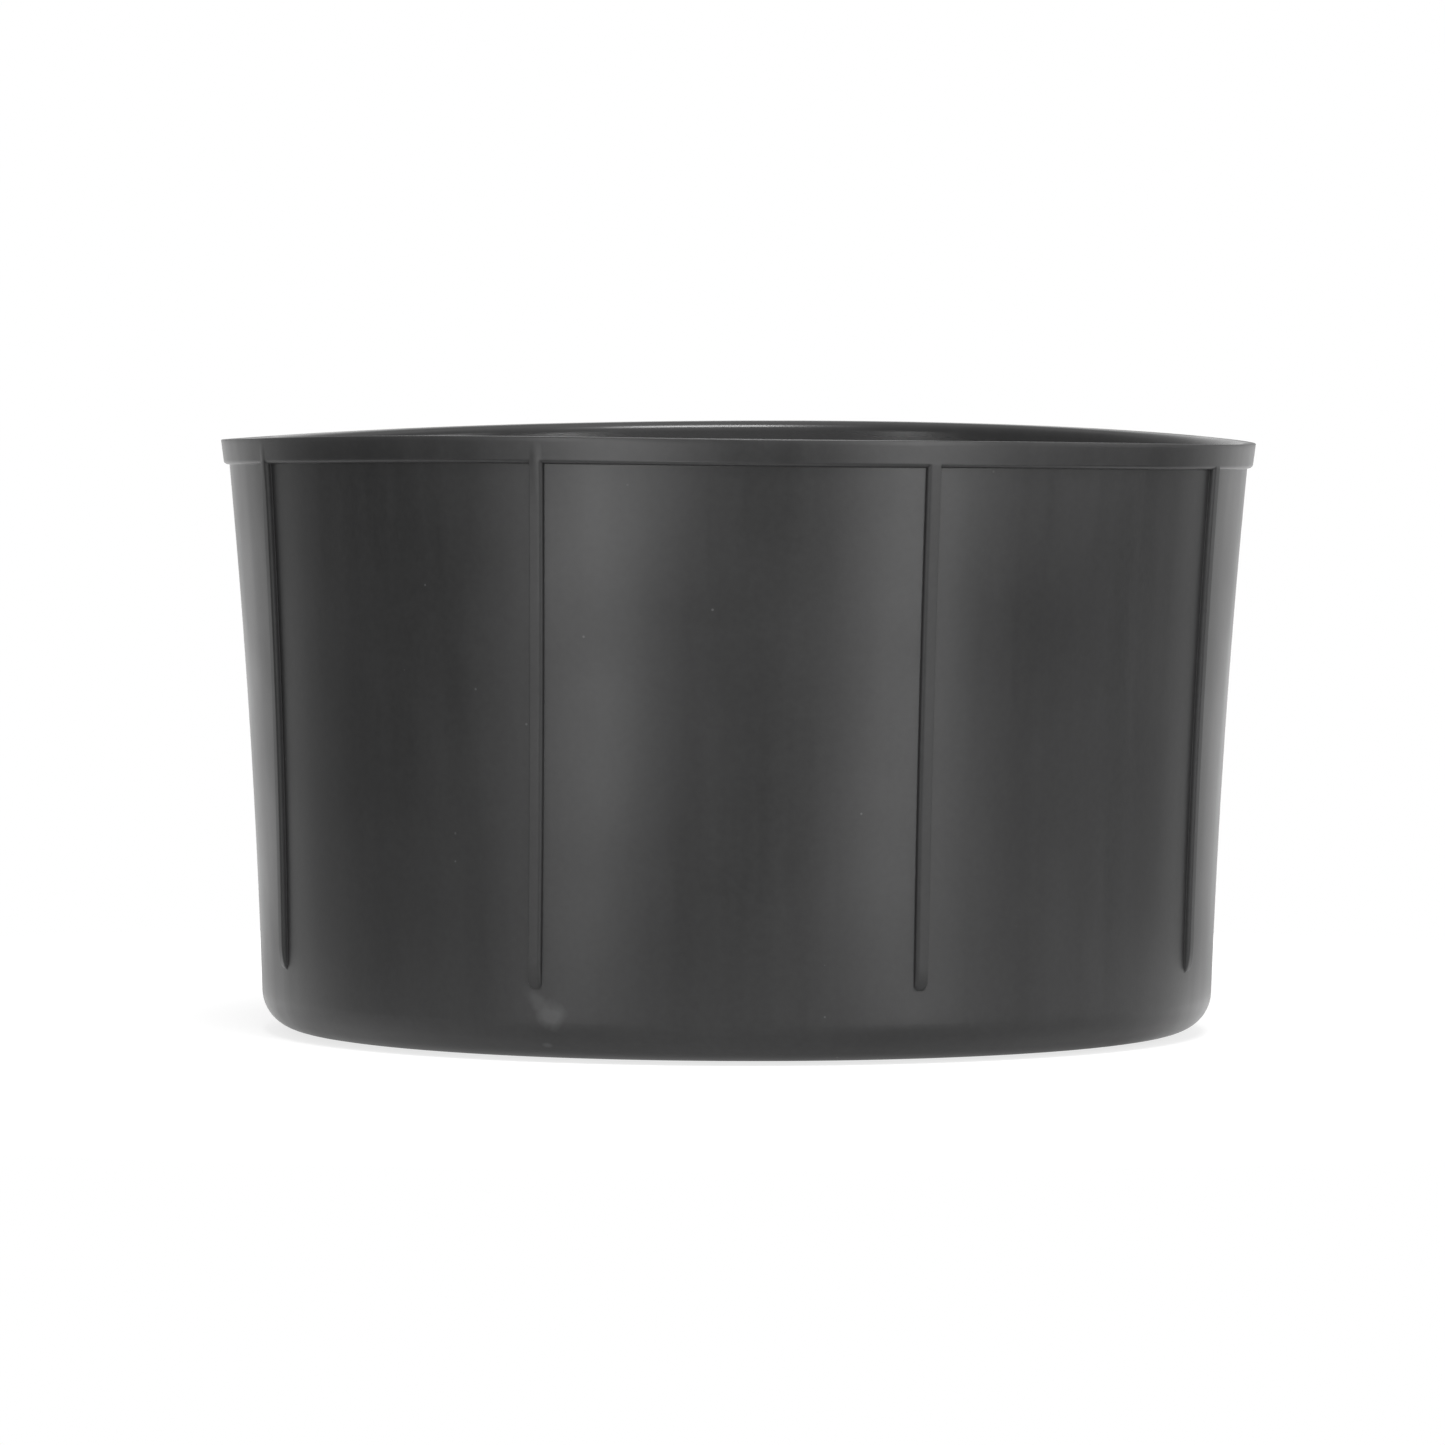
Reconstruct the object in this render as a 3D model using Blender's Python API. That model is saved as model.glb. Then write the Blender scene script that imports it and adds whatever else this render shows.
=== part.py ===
"""Hair colour mixing bowl.

A round plastic bowl with a plain band round its rim and slim ribs down its outside.
A rubber ring sits in a channel in its underside and keeps it from sliding.
Metres, +Z up. The origin is on the bowl's axis, on the surface that the ring stands on.
"""

import math

import bmesh
import bpy

# Bowl body. Its heights are measured from its own underside.
BODY_HEIGHT = 0.0802
RIM_RADIUS = 0.0700  # outer edge of the rim band, at the top
BAND_HEIGHT = 0.0034
BAND_DRAFT = 0.00034  # the band is this much smaller in radius at its lower edge
BAND_PROUD = 0.0008  # step from the wall out to the band's lower edge
WALL_FOOT_RADIUS = 0.0642  # where the wall's outer curve would reach the underside
WALL_BOW = 0.0006  # the wall curves this far inside a straight cone at mid height
WALL_THICKNESS = 0.0020
FLOOR_THICKNESS = 0.0026
OUTER_CORNER = 0.0052  # radius between the wall and the underside
INNER_CORNER = 0.0060  # radius between the wall and the floor, for scraping out with a brush
RIM_OUTER_ROUND = 0.0004
RIM_INNER_ROUND = 0.0014

# Ribs on the outside of the wall.
RIB_COUNT = 8
RIB_START = 0.0092  # height of a rib's lower tip
RIB_RUN_OUT = 0.0037  # length over which a rib rises out of the wall
RIB_FOOT_WIDTH = 0.0018
RIB_LAND_WIDTH = 0.0013
RIB_SETBACK = 0.0001  # a rib's land lies this far inside the band's lower edge
RIB_ROOT = 0.0008  # depth of a rib's root inside the wall
RIB_SINK = 0.0002  # a rib's tip starts this far under the wall's surface
RIB_LAP = 0.0010  # a rib's upper end reaches this far into the band

# Rubber ring and the channel that holds it.
RING_INSET = 0.0090  # from the edge of the flat underside in to the ring
RING_WIDTH = 0.0070
RING_PROUD = 0.0004  # the ring stands this far below the bowl's underside
RING_EDGE_ROUND = 0.0005
RING_CLEARANCE = 0.0003
CHANNEL_DEPTH = 0.0013
CHANNEL_LAND = 0.0030  # ridge between the channel and the recessed middle
CENTRE_RECESS = 0.0006  # the middle of the underside lies this much higher

# Fineness of the faceted surfaces.
ROUND_STEPS = 80
WALL_ROWS = 7
CORNER_STEPS = 6
RIM_STEPS = 3
RIB_NOSE_STEPS = 3
RIB_RAMP_STEPS = 3
SMOOTH_ANGLE = math.radians(35)

WALL_TOP = BODY_HEIGHT - BAND_HEIGHT
WALL_TOP_RADIUS = RIM_RADIUS - BAND_DRAFT - BAND_PROUD


def wall_radius(height):
    """Outer radius of the wall: a cone that bows inwards at mid height."""
    share = height / WALL_TOP
    cone = WALL_FOOT_RADIUS + (WALL_TOP_RADIUS - WALL_FOOT_RADIUS) * share
    return cone - 4 * WALL_BOW * share * (1 - share)


def wall_lean(height):
    """Angle by which the wall leans outwards at a height."""
    share = height / WALL_TOP
    rise = WALL_TOP_RADIUS - WALL_FOOT_RADIUS - 4 * WALL_BOW * (1 - 2 * share)
    return math.atan2(rise, WALL_TOP)


def spaced(start, end, count):
    """Evenly spaced values from start to end, both included."""
    return [start + (end - start) * step / (count - 1) for step in range(count)]


def arc(centre, radius, start, end, steps):
    """Points (radius, height) along an arc, with its angles in radians."""
    angles = spaced(start, end, steps + 1)
    return [(centre[0] + radius * math.cos(a), centre[1] + radius * math.sin(a)) for a in angles]


def foot_corner(base, radius, inset):
    """Rounded corner from a level surface at height base up to the wall, or to a line inset from it."""
    lean = wall_lean(base + radius)
    meeting_height = base + radius * (1 - math.sin(lean))
    centre_radius = wall_radius(meeting_height) - inset - radius * math.cos(lean)
    return arc((centre_radius, base + radius), radius, -math.pi / 2, -lean, CORNER_STEPS)


def ring_outer_radius():
    """The ring lies a set distance inside the edge of the flat underside."""
    flat_edge = foot_corner(0, OUTER_CORNER, 0)[0][0]
    return flat_edge - RING_INSET


def inner_outline():
    """Floor, inner corner and inner wall, from the axis up to the rim."""
    corner = foot_corner(FLOOR_THICKNESS, INNER_CORNER, WALL_THICKNESS)
    heights = spaced(corner[-1][1], BODY_HEIGHT - RIM_INNER_ROUND, WALL_ROWS)
    wall = [(wall_radius(height) - WALL_THICKNESS, height) for height in heights[1:-1]]
    return [(0, FLOOR_THICKNESS)] + corner + wall


def rim_outline():
    """Rounded inner edge, flat top and rounded outer edge of the rim, then the band's outer face."""
    inner_radius = wall_radius(BODY_HEIGHT - RIM_INNER_ROUND) - WALL_THICKNESS
    inner_centre = (inner_radius + RIM_INNER_ROUND, BODY_HEIGHT - RIM_INNER_ROUND)
    outer_centre = (RIM_RADIUS - RIM_OUTER_ROUND, BODY_HEIGHT - RIM_OUTER_ROUND)
    inner_edge = arc(inner_centre, RIM_INNER_ROUND, math.pi, math.pi / 2, RIM_STEPS)
    outer_edge = arc(outer_centre, RIM_OUTER_ROUND, math.pi / 2, 0, RIM_STEPS)
    return inner_edge + outer_edge + [(RIM_RADIUS - BAND_DRAFT, WALL_TOP)]


def outer_outline():
    """Outer wall from the band down, and the rounded corner under it."""
    corner = foot_corner(0, OUTER_CORNER, 0)
    heights = spaced(WALL_TOP, corner[-1][1], WALL_ROWS)
    wall = [(wall_radius(height), height) for height in heights[:-1]]
    return wall + corner[::-1]


def underside_outline():
    """Ring channel, the ridge inside it and the recessed middle, in to the axis."""
    channel_outer = ring_outer_radius() + RING_CLEARANCE
    channel_inner = ring_outer_radius() - RING_WIDTH - RING_CLEARANCE
    recess_edge = channel_inner - CHANNEL_LAND
    return [
        (channel_outer, 0),
        (channel_outer, CHANNEL_DEPTH),
        (channel_inner, CHANNEL_DEPTH),
        (channel_inner, 0),
        (recess_edge, 0),
        (recess_edge, CENTRE_RECESS),
        (0, CENTRE_RECESS),
    ]


def ring_outline():
    """Closed section of the rubber ring, with its two lower edges rounded."""
    outer = ring_outer_radius()
    inner = outer - RING_WIDTH
    top = RING_PROUD + CHANNEL_DEPTH - RING_CLEARANCE
    outer_edge = arc(
        (outer - RING_EDGE_ROUND, RING_EDGE_ROUND), RING_EDGE_ROUND, 0, -math.pi / 2, RIM_STEPS
    )
    inner_edge = arc(
        (inner + RING_EDGE_ROUND, RING_EDGE_ROUND), RING_EDGE_ROUND, -math.pi / 2, -math.pi, RIM_STEPS
    )
    return [(inner, top), (outer, top)] + outer_edge + inner_edge


def turned_mesh(name, outline, base, closed):
    """Turn an outline of (radius, height) points about the bowl's axis, standing on height base."""
    bm = bmesh.new()
    verts = [bm.verts.new((radius, 0, base + height)) for radius, height in outline]
    pairs = list(zip(verts, verts[1:]))
    if closed:
        pairs.append((verts[-1], verts[0]))
    edges = [bm.edges.new(pair) for pair in pairs]
    bmesh.ops.spin(
        bm,
        geom=verts + edges,
        cent=(0, 0, 0),
        axis=(0, 0, 1),
        angle=2 * math.pi,
        steps=ROUND_STEPS,
        use_merge=True,
    )
    bmesh.ops.remove_doubles(bm, verts=bm.verts, dist=1e-6)
    bmesh.ops.recalc_face_normals(bm, faces=bm.faces)
    mesh = bpy.data.meshes.new(name)
    bm.to_mesh(mesh)
    bm.free()
    mesh.shade_smooth()
    mesh.set_sharp_from_angle(angle=SMOOTH_ANGLE)
    return mesh


def rib_stations():
    """Height and half width of a rib's foot at each station, from its round nose up into the band."""
    nose = RIB_FOOT_WIDTH / 2
    quarter = math.pi / 2
    stations = []
    for step in range(1, RIB_NOSE_STEPS + 1):
        angle = quarter * step / RIB_NOSE_STEPS
        stations.append((RIB_START + nose * (1 - math.cos(angle)), nose * math.sin(angle)))
    ramp_top = RIB_START + RIB_RUN_OUT
    for height in spaced(RIB_START + nose, ramp_top, RIB_RAMP_STEPS + 1)[1:]:
        stations.append((height, nose))
    for height in spaced(ramp_top, WALL_TOP + RIB_LAP, WALL_ROWS)[1:]:
        stations.append((height, nose))
    return stations


def rib_section(bm, height, half_foot, turn):
    """Four corners of a rib's drafted section at a height, turned to the rib's place round the wall."""
    proud = BAND_PROUD - RIB_SETBACK
    rise = min((height - RIB_START) / RIB_RUN_OUT, 1)
    ease = rise * (2 - rise)
    wall = wall_radius(height)
    land = proud * ease - RIB_SINK * (1 - ease)
    draft = (RIB_FOOT_WIDTH - RIB_LAND_WIDTH) / 2 / proud
    shrink = half_foot / (RIB_FOOT_WIDTH / 2)
    half_root = (RIB_FOOT_WIDTH / 2 + draft * RIB_ROOT) * shrink
    half_land = (RIB_FOOT_WIDTH / 2 - draft * land) * shrink
    corners = [
        (wall - RIB_ROOT, -half_root),
        (wall + land, -half_land),
        (wall + land, half_land),
        (wall - RIB_ROOT, half_root),
    ]
    verts = []
    for out, side in corners:
        x = out * math.cos(turn) - side * math.sin(turn)
        y = out * math.sin(turn) + side * math.cos(turn)
        verts.append(bm.verts.new((x, y, RING_PROUD + height)))
    return verts


def rib_mesh(name):
    """All the ribs, each a closed bar that follows the wall's curve."""
    bm = bmesh.new()
    pitch = 2 * math.pi / RIB_COUNT
    first = -math.pi / 2 + pitch / 2
    for rib in range(RIB_COUNT):
        turn = first + rib * pitch
        sections = [rib_section(bm, height, half, turn) for height, half in rib_stations()]
        for lower, upper in zip(sections, sections[1:]):
            for side in range(4):
                following = (side + 1) % 4
                bm.faces.new((lower[side], lower[following], upper[following], upper[side]))
        bm.faces.new(sections[0][::-1])
        bm.faces.new(sections[-1])
    bmesh.ops.recalc_face_normals(bm, faces=bm.faces)
    mesh = bpy.data.meshes.new(name)
    bm.to_mesh(mesh)
    bm.free()
    return mesh


def finish(name, colour, roughness):
    """Principled material of one piece."""
    material = bpy.data.materials.new(name)
    material.use_nodes = True
    shader = material.node_tree.nodes["Principled BSDF"]
    shader.inputs["Base Color"].default_value = (*colour, 1)
    shader.inputs["Roughness"].default_value = roughness
    shader.inputs["Metallic"].default_value = 0
    return material


def add_object(name, mesh):
    """Put a mesh in the scene under a name."""
    piece = bpy.data.objects.new(name, mesh)
    bpy.context.scene.collection.objects.link(piece)
    return piece


def clear_scene():
    """Start from an empty scene."""
    for old in list(bpy.data.objects):
        bpy.data.objects.remove(old, do_unlink=True)


def make_bowl_body():
    """The moulded bowl: a turned shell with the ribs joined to its wall."""
    outline = inner_outline() + rim_outline() + outer_outline() + underside_outline()
    body = add_object("bowl_body", turned_mesh("bowl_body", outline, RING_PROUD, False))
    body.data.materials.append(finish("satin_black_plastic", (0.022, 0.022, 0.023), 0.38))
    ribs = add_object("rib_shapes", rib_mesh("rib_shapes"))
    ribs.hide_render = True
    ribs.display_type = "WIRE"
    join = body.modifiers.new("join_ribs", "BOOLEAN")
    join.operation = "UNION"
    join.solver = "EXACT"
    join.object = ribs
    return body


def make_non_slip_ring():
    """The rubber ring under the bowl."""
    ring = add_object("non_slip_ring", turned_mesh("non_slip_ring", ring_outline(), 0, True))
    ring.data.materials.append(finish("black_rubber", (0.016, 0.016, 0.016), 0.8))
    return ring


clear_scene()
make_bowl_body()
make_non_slip_ring()
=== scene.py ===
# %% [markdown]
# # A hair colour bowl
#
# This lesson dresses one small object from a salon: the dark plastic bowl in which hair colour is
# stirred with a brush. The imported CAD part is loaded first, and stays as the fixed frame. It gives
# the size of everything, so nothing here is placed by eye when the frame can say where it goes.

import math

import bpy
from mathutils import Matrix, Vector


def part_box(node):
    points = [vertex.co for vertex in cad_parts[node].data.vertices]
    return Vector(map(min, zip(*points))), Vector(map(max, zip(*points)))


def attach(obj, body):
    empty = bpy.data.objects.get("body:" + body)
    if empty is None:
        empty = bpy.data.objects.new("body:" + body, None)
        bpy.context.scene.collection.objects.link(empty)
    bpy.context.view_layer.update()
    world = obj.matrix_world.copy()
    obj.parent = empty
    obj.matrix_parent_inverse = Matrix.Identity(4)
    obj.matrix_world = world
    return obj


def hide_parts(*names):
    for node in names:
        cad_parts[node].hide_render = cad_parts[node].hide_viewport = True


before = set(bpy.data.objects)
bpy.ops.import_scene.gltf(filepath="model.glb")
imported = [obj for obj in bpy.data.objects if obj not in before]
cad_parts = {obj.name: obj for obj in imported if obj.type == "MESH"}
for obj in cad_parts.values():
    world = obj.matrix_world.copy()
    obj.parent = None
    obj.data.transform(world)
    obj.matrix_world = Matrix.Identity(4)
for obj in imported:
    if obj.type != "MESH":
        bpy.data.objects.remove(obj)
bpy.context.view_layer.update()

# %% [markdown]
# ## Where the photographer stood
#
# The photo was taken from far away with a long lens, a little above the rim, so we look just into
# the mouth of the bowl. A wide lens close up would show more of the inside and make the base look
# too small. We say how wide a strip of the world the picture takes in at the bowl, and work the
# focal length out from that.

# %% Camera
CAMERA_DISTANCE = 1.35
CAMERA_HEIGHT = 0.10435
CAMERA_SIDE = -0.00204
AIM_HEIGHT = 0.04167
VIEW_WIDTH = 0.196
CAMERA_ROLL = math.radians(0.17)

eye = Vector((CAMERA_SIDE, -CAMERA_DISTANCE, CAMERA_HEIGHT))
aim = Vector((CAMERA_SIDE, 0, AIM_HEIGHT))
bpy.ops.object.camera_add(location=eye)
camera = bpy.context.object
camera.rotation_euler = (aim - eye).to_track_quat("-Z", "Y").to_euler()
camera.rotation_euler.rotate_axis("Z", CAMERA_ROLL)
camera.data.lens = camera.data.sensor_width * (aim - eye).length / VIEW_WIDTH
bpy.context.scene.camera = camera
print("Focal length in mm:", round(camera.data.lens, 1))

# %% [markdown]
# ## Sizes of the bowl
#
# The rim, the height and the ring come straight from the frame. The rest are the sizes that the
# CAD part was drawn with, and a few finer ones that only show close up, such as the small rounds
# that a mould needs on every edge. Heights are measured from the bowl's own underside.

# %% Driving sizes
body_low, body_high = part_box("bowl_body")
ring_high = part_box("non_slip_ring")[1]
BASE_Z = body_low.z
BODY_HEIGHT = body_high.z - body_low.z
RIM_RADIUS = body_high.x
RING_RADIUS = ring_high.x
RING_TOP = ring_high.z

WALL_FOOT_RADIUS = 0.0642
WALL_BOW = 0.0006
WALL_THICKNESS = 0.0020
FLOOR_THICKNESS = 0.0026
OUTER_CORNER = 0.0052
INNER_CORNER = 0.0060
BAND_HEIGHT = 0.0034
BAND_DRAFT = 0.00034
BAND_PROUD = 0.0008
BAND_FILLET = 0.00010
BAND_EDGE_ROUND = 0.00060
RIM_OUTER_ROUND = 0.00015
RIM_INNER_ROUND = 0.0014

WALL_TOP = BODY_HEIGHT - BAND_HEIGHT
BAND_FACE_FOOT = WALL_TOP + BAND_EDGE_ROUND
BAND_FACE_TOP = BODY_HEIGHT - RIM_OUTER_ROUND
BAND_FOOT_RADIUS = RIM_RADIUS - BAND_DRAFT
WALL_TOP_RADIUS = BAND_FOOT_RADIUS - BAND_PROUD
print("Rim", round(2000 * RIM_RADIUS, 1), "mm across, bowl", round(1000 * BODY_HEIGHT, 1), "mm high")

# %% [markdown]
# ## The outline that is turned
#
# A bowl like this is a solid of revolution, so one outline from the axis, under the base, up the
# wall, over the rim and back down to the axis says nearly everything. We write the straight runs
# as spaced points and every corner as an arc, so a corner is as smooth as its number of steps.

# %% Outline helpers
OUTER_CORNER_STEPS = 14
INNER_CORNER_STEPS = 12


def wall_radius(height):
    """Outer radius of the bare wall: a cone that bows in a little at mid height."""
    share = height / WALL_TOP
    cone = WALL_FOOT_RADIUS + (WALL_TOP_RADIUS - WALL_FOOT_RADIUS) * share
    return cone - 4 * WALL_BOW * share * (1 - share)


def wall_lean(height):
    """Angle by which the wall leans outwards at a height."""
    share = height / WALL_TOP
    rise = WALL_TOP_RADIUS - WALL_FOOT_RADIUS - 4 * WALL_BOW * (1 - 2 * share)
    return math.atan2(rise, WALL_TOP)


def spaced(start, end, count):
    """Evenly spaced values from start to end, both included."""
    return [start + (end - start) * step / (count - 1) for step in range(count)]


def arc(centre, radius, start, end, steps):
    """Points along an arc about a centre, with its angles in degrees."""
    points = []
    for angle in spaced(math.radians(start), math.radians(end), steps + 1):
        points.append((centre[0] + radius * math.cos(angle), centre[1] + radius * math.sin(angle)))
    return points


def foot_corner(base, radius, inset, steps):
    """Rounded corner from a level surface up to the wall, or to a line inset from the wall."""
    lean = wall_lean(base + radius)
    meeting_height = base + radius * (1 - math.sin(lean))
    centre_radius = wall_radius(meeting_height) - inset - radius * math.cos(lean)
    return arc((centre_radius, base + radius), radius, -90, -math.degrees(lean), steps)


outer_corner = foot_corner(0, OUTER_CORNER, 0, OUTER_CORNER_STEPS)
inner_corner = foot_corner(FLOOR_THICKNESS, INNER_CORNER, WALL_THICKNESS, INNER_CORNER_STEPS)
print("Flat underside reaches", round(1000 * outer_corner[0][0], 2), "mm from the axis")

# %% [markdown]
# ## The underside
#
# Nobody sees it in the photo, but every moulded bowl has one. The plastic enters at the centre, and
# leaves a small nub in a dimple where the runner was twisted off. The middle is recessed so that it
# can't rock, and a channel further out holds the rubber ring. Each step has a row of points close by
# on both sides, so the flat faces stay flat when they are shaded smooth.

# %% Underside outline
GATE_NUB_RADIUS = 0.0008
GATE_NUB_HEIGHT = 0.00035
GATE_DIMPLE_RADIUS = 0.0050
GATE_DIMPLE_DEPTH = 0.0005
CENTRE_RECESS = 0.0006
RECESS_ROWS = 4
RECESS_ROW_START = 0.012
RECESS_ROW_MARGIN = 0.004
CHANNEL_DEPTH = 0.0013
CHANNEL_LAND = 0.0030
RING_WIDTH = 0.0070
RING_CLEARANCE = 0.0003
MOULD_ROUND = 0.00015
MOULD_STEPS = 3
STEP_REACH = 0.00035

channel_outer = RING_RADIUS + RING_CLEARANCE
channel_inner = RING_RADIUS - RING_WIDTH - RING_CLEARANCE
recess_edge = channel_inner - CHANNEL_LAND
dimple_floor = CENTRE_RECESS + GATE_DIMPLE_DEPTH
nub_tip = dimple_floor - GATE_NUB_HEIGHT


def step_down(radius, high, low):
    """Outward step from a high ceiling to a lower one, both of its corners rounded."""
    r = MOULD_ROUND
    corners = arc((radius - r, high - r), r, 90, 0, MOULD_STEPS)
    corners += arc((radius + r, low + r), r, 180, 270, MOULD_STEPS)
    return [(radius - STEP_REACH, high)] + corners + [(radius + STEP_REACH, low)]


def step_up(radius, low, high):
    """Outward step from a low ceiling to a higher one, both of its corners rounded."""
    r = MOULD_ROUND
    corners = arc((radius - r, low + r), r, 270, 360, MOULD_STEPS)
    corners += arc((radius + r, high - r), r, 180, 90, MOULD_STEPS)
    return [(radius - STEP_REACH, low)] + corners + [(radius + STEP_REACH, high)]


recess_rows = spaced(RECESS_ROW_START, recess_edge - RECESS_ROW_MARGIN, RECESS_ROWS)
underside = [(0, nub_tip)]
underside += step_up(GATE_NUB_RADIUS, nub_tip, dimple_floor)
underside += step_down(GATE_DIMPLE_RADIUS, dimple_floor, CENTRE_RECESS)
underside += [(radius, CENTRE_RECESS) for radius in recess_rows]
underside += step_down(recess_edge, CENTRE_RECESS, 0)
underside += step_up(channel_inner, 0, CHANNEL_DEPTH)
underside += step_down(channel_outer, CHANNEL_DEPTH, 0)
underside.append((outer_corner[0][0] - 2 * STEP_REACH, 0))
print("Ring channel from", round(1000 * channel_inner, 2), "to", round(1000 * channel_outer, 2), "mm")

# %% [markdown]
# ## The wall
#
# A plain wall could be drawn with a few points, but each rib has to grow out of it later, and a mesh
# can only bend where it has points. So the wall gets many rows low down, where each rib rises out of
# it. Elsewhere it is nearly straight and needs few.

# %% Wall outline
RIB_START = 0.0092
RIB_RUN_OUT = 0.0037
ROW_MARGIN = 0.0008
FOOT_ROWS = 4
NOSE_ROWS = 38
WALL_ROWS = 22
FILLET_MARGIN = 4 * BAND_FILLET

nose_low = RIB_START - ROW_MARGIN
nose_high = RIB_START + RIB_RUN_OUT + ROW_MARGIN
wall_rows = spaced(outer_corner[-1][1], nose_low, FOOT_ROWS)[1:-1]
wall_rows += spaced(nose_low, nose_high, NOSE_ROWS)
wall_rows += spaced(wall_rows[-1], WALL_TOP - FILLET_MARGIN, WALL_ROWS)[1:]
wall_outline = [(wall_radius(height), height) for height in wall_rows]
nose_step = (nose_high - nose_low) / (NOSE_ROWS - 1)
print("Wall has", len(wall_rows), "rows, at a rib's nose", round(1000 * nose_step, 2), "mm apart")

# %% [markdown]
# ## Band, rim and inside
#
# The band stiffens the rim and gives the fingers an edge to hold. Its lower edge is rounded, its upper
# outer edge is crisp, and the inner edge of the rim is rounder, so that a brush can be wiped over it.
# The inside follows the wall at an even thickness, because a moulding cools evenly only then.

# %% Band, rim and inner outline
FILLET_STEPS = 6
BAND_EDGE_STEPS = 8
BAND_ROWS = 6
RIM_OUTER_STEPS = 6
RIM_INNER_STEPS = 10
INNER_ROWS = 18
FLOOR_ROWS = 6

fillet_centre = (wall_radius(WALL_TOP - BAND_FILLET) + BAND_FILLET, WALL_TOP - BAND_FILLET)
edge_centre = (BAND_FOOT_RADIUS - BAND_EDGE_ROUND, BAND_FACE_FOOT)
band_outline = arc(fillet_centre, BAND_FILLET, 180, 90, FILLET_STEPS)
band_outline += arc(edge_centre, BAND_EDGE_ROUND, -90, 0, BAND_EDGE_STEPS)
for share in spaced(0, 1, BAND_ROWS)[1:-1]:
    height = BAND_FACE_FOOT + (BAND_FACE_TOP - BAND_FACE_FOOT) * share
    band_outline.append((BAND_FOOT_RADIUS + BAND_DRAFT * share, height))

inner_radius = wall_radius(BODY_HEIGHT - RIM_INNER_ROUND) - WALL_THICKNESS
outer_centre = (RIM_RADIUS - RIM_OUTER_ROUND, BAND_FACE_TOP)
inner_centre = (inner_radius + RIM_INNER_ROUND, BODY_HEIGHT - RIM_INNER_ROUND)
rim_outline = arc(outer_centre, RIM_OUTER_ROUND, 0, 90, RIM_OUTER_STEPS)
rim_outline += arc(inner_centre, RIM_INNER_ROUND, 90, 180, RIM_INNER_STEPS)

inner_rows = spaced(BODY_HEIGHT - RIM_INNER_ROUND, inner_corner[-1][1], INNER_ROWS)[1:-1]
inner_outline = [(wall_radius(height) - WALL_THICKNESS, height) for height in inner_rows]
floor_rows = spaced(inner_corner[0][0], 0, FLOOR_ROWS)[1:]
floor_outline = [(radius, FLOOR_THICKNESS) for radius in floor_rows]

bowl_outline = underside + outer_corner + wall_outline + band_outline + rim_outline
bowl_outline += inner_outline + inner_corner[::-1] + floor_outline
print("Bowl outline has", len(bowl_outline), "points")

# %% [markdown]
# ## The section of a rib
#
# Each rib is a slim upright bar. The edge that faces the middle of the picture is well rounded, and
# the edge on the other side is crisp, as on a part whose mould opens to the front and the back. We
# write half of the section as distances from the middle, each with two shares of the rib's height:
# on the rounded side and on the crisp one. The same distances set the columns of the mesh, so every
# edge of a rib lies on a column of its own. The outermost two lie on the plain wall, and keep the
# rib's smooth shading from spreading over it.

# %% Rib section
RIB_COUNT = 8
PITCH = 2 * math.pi / RIB_COUNT
RIB_MEAN_RADIUS = 0.067
RIB_SECTION = (
    (0.00125, 0.0, 0.0),
    (0.00100, 0.0, 0.0),
    (0.00096, 0.0, 0.0),
    (0.00094, 0.010, 0.015),
    (0.00092, 0.035, 0.06),
    (0.000905, 0.08, 0.15),
    (0.000895, 0.16, 0.27),
    (0.00089, 0.267, 0.36),
    (0.00087, 0.463, 0.97),
    (0.00084, 0.572, 1.0),
    (0.00079, 0.687, 1.0),
    (0.00072, 0.796, 1.0),
    (0.00063, 0.889, 1.0),
    (0.00052, 0.960, 1.0),
    (0.00040, 0.996, 1.0),
    (0.00025, 1.0, 1.0),
    (0.0, 1.0, 1.0),
)


def section_share(distance, crispness):
    """Share of a rib's height at a distance from its middle, from its rounded to its crisp side."""
    for (outer, *low), (inner, *high) in zip(RIB_SECTION, RIB_SECTION[1:]):
        if inner <= distance < outer:
            part = (outer - distance) / (outer - inner)
            rounded, crisp = [first + (last - first) * part for first, last in zip(low, high)]
            return rounded + (crisp - rounded) * crispness
    return 0


columns_half = RIB_SECTION[0][0]
foot_half = RIB_SECTION[2][0]
print("Rib foot", round(2000 * foot_half, 2), "mm wide, drawn with", len(RIB_SECTION), "points a side")

# %% [markdown]
# ## Drawing an outline
#
# By hand we would press E again and again to draw the outline, then spin it about the axis. Here a
# plane is collapsed to one point, and that point is extruded along the outline. Both pieces are round,
# so both will use these two helpers: one that draws, and one that closes the seam after the spin.

# %% Draw the bowl's outline
SEAM = 1e-6


def draw_outline(name, outline, base):
    """Extrude a single point along an outline of (radius, height) pairs, and stay in edit mode."""
    points = [Vector((radius, 0, base + height)) for radius, height in outline]
    bpy.ops.object.select_all(action="DESELECT")
    bpy.ops.mesh.primitive_plane_add(size=RIM_RADIUS, location=(0, 0, 0))
    piece = bpy.context.object
    piece.name = name
    piece.data.name = name
    bpy.ops.object.mode_set(mode="EDIT")
    bpy.ops.mesh.select_mode(type="VERT")
    bpy.ops.mesh.merge(type="CENTER")
    bpy.ops.transform.translate(value=points[0])
    for here, there in zip(points, points[1:]):
        bpy.ops.mesh.extrude_vertices_move(TRANSFORM_OT_translate={"value": there - here})
    bpy.ops.mesh.select_all(action="SELECT")
    return piece


def close_seams():
    """Merge the seams and the poles, and turn every face outwards."""
    bpy.ops.mesh.select_all(action="SELECT")
    bpy.ops.mesh.remove_doubles(threshold=SEAM)
    bpy.ops.mesh.normals_make_consistent(inside=False)
    bpy.ops.object.mode_set(mode="OBJECT")


bowl = draw_outline("ribbed_bowl", bowl_outline, BASE_Z)
print("Drew the outline of", bowl.name)

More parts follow.
